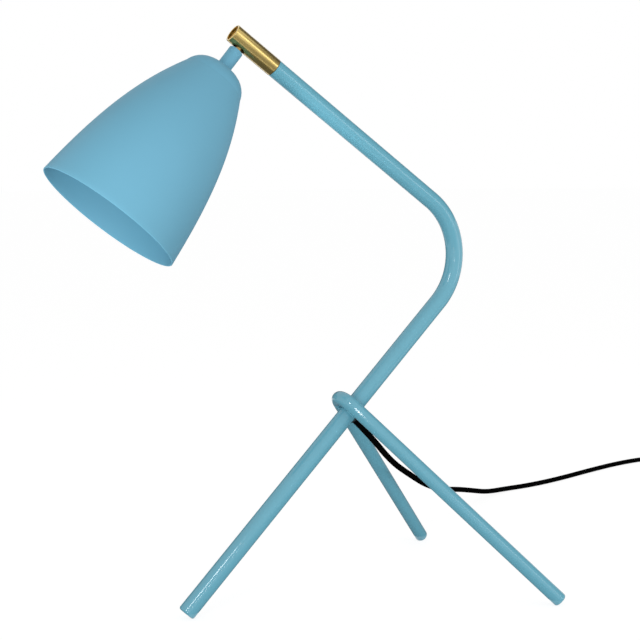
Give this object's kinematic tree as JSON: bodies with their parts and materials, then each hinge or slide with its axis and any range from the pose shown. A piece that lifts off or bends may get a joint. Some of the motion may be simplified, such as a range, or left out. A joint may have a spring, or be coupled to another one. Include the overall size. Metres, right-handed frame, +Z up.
{
  "type": "tripod table lamp",
  "caption": "Tripod table lamp: blue painted bent tube with hairpin rear legs, bell shade on a slotted brass swivel sleeve, black cord with in-line switch and flat plug",
  "frame": {"origin": "on the table, under the middle of the lamp's own bounding box (shade rim to rear feet, near foot to far foot), cord left out", "axes": "+Z up from the table; +X away from the front foot, towards the rear legs and the cord; +Y to the far side, so that the bent tube lies in the XZ plane"},
  "size_m": [0.9607, 0.4346, 0.5099],
  "materials": {
    "stand_paint": "blue powder paint, satin gloss, on steel tube",
    "shade_paint": "blue paint, matt satin, inside and out, on spun steel",
    "brass": "brushed and lacquered brass",
    "steel": "zinc-plated steel, plain",
    "bronze": "plain phosphor bronze, turned",
    "rubber": "black rubber, matt",
    "cord_sheath": "smooth black flexible plastic sheath",
    "wire_sheath": "thin insulated cores",
    "tie_plastic": "black strap",
    "switch_plastic": "black moulded plastic, fine spark texture",
    "rocker_plastic": "black moulded plastic, smooth",
    "plug_metal": "nickel-plated brass with insulated roots",
    "holder_plastic": "black heat-proof plastic",
    "holder_metal": "pressed brass",
    "bulb_metal": "pressed aluminium",
    "bulb_insulator": "black insulator with a solder point",
    "bulb_opal": "opal white glass, satin"
  },
  "bodies": {
    "stand": {"main_tube": "stand_paint", "leg_hairpin": "stand_paint", "weld_beads": "stand_paint", "foot_plug_front": "stand_paint", "foot_plug_near": "stand_paint", "foot_plug_far": "stand_paint", "cable_grommet": "rubber", "inner_flex": "cord_sheath", "arm_spigot": "steel", "cord_free": "cord_sheath", "switch_base": "switch_plastic", "switch_cover": "switch_plastic", "switch_screws": "steel", "cord_mid": "cord_sheath", "cord_coil": "cord_sheath", "coil_tie": "tie_plastic", "cord_tail": "cord_sheath", "plug_body": "switch_plastic", "plug_pins": "plug_metal"},
    "sleeve": {"brass_sleeve": "brass", "sleeve_screw": "steel", "saddle_inner": "bronze", "saddle_outer": "bronze", "retaining_ring": "bronze"},
    "head": {"swivel_ball": "brass", "threaded_neck": "brass", "shade_stem": "shade_paint", "shade": "shade_paint", "shade_washer": "steel", "shade_nut": "steel", "holder_cap": "holder_plastic", "holder_body": "holder_plastic", "holder_terminals": "holder_plastic", "holder_contacts": "holder_metal", "bulb_cap": "bulb_metal", "bulb_contact": "bulb_insulator", "bulb_glass": "bulb_opal", "head_wires": "wire_sheath"},
    "rocker": {"switch_rocker": "rocker_plastic"}
  },
  "joints": [
    {"name": "sleeve_swivel", "type": "hinge", "parent": "stand", "child": "sleeve", "pos_m": [-0.04412, 0, 0.49647], "axis": [-0.8121, 0, 0.5835], "range_deg": [-150, 150]},
    {"name": "shade_tilt", "type": "hinge", "parent": "sleeve", "child": "head", "pos_m": [-0.04412, 0, 0.49647], "axis": [0, 1, 0], "range_deg": [-18, 10]},
    {"name": "rocker_tilt", "type": "hinge", "parent": "stand", "child": "rocker", "pos_m": [0.72955, 0.19913, 0.012], "axis": [0.9943, -0.1065, 0], "range_deg": [0, 16]}
  ]
}
